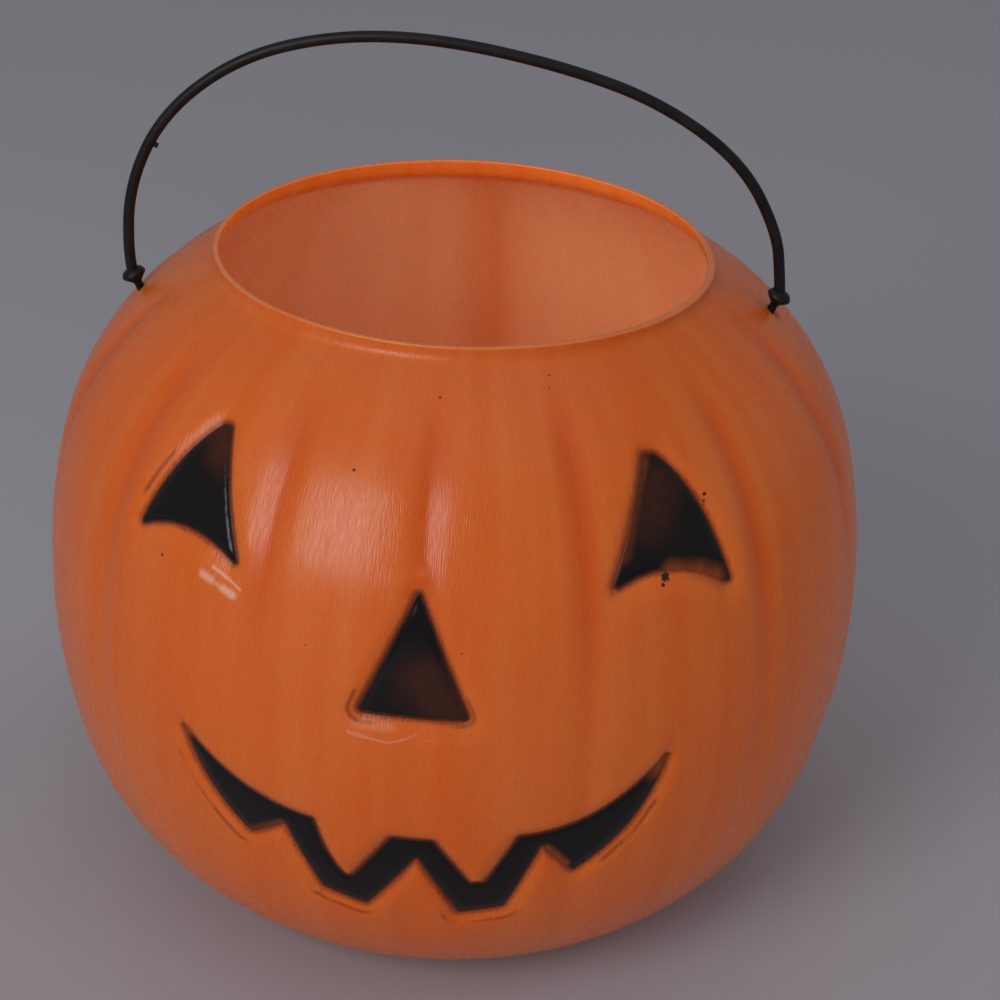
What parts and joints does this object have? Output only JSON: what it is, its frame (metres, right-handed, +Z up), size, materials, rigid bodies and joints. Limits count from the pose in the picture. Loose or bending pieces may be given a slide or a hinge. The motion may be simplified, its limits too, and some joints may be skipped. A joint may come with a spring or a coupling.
{
  "type": "pumpkin candy pail",
  "caption": "Round lobed pumpkin pail in thin orange plastic with a recessed painted face, open at the top and carried by a slim black plastic bail that swings in holes in its shoulder.",
  "frame": {"origin": "middle of the base, on the plane that the pail stands on", "axes": "+Z up, the painted face looks along -Y, +X to the viewer's right of the face"},
  "size_m": [0.22, 0.2198, 0.2334],
  "materials": {
    "orange_plastic": "satin translucent orange polyethylene",
    "black_plastic": "satin moulded black plastic",
    "black_paint": "thin glossy black sprayed paint"
  },
  "bodies": {
    "pail": {"pumpkin_shell": "orange_plastic", "left_eye_paint": "black_paint", "right_eye_paint": "black_paint", "nose_paint": "black_paint", "mouth_paint": "black_paint"},
    "bail": {"bail_handle": "black_plastic"}
  },
  "joints": [
    {"name": "bail_swing", "type": "hinge", "parent": "pail", "child": "bail", "pos_m": [-0.08529, 0, 0.16], "axis": [0.9996, 0, 0.029], "range_deg": [-45, 45]}
  ]
}
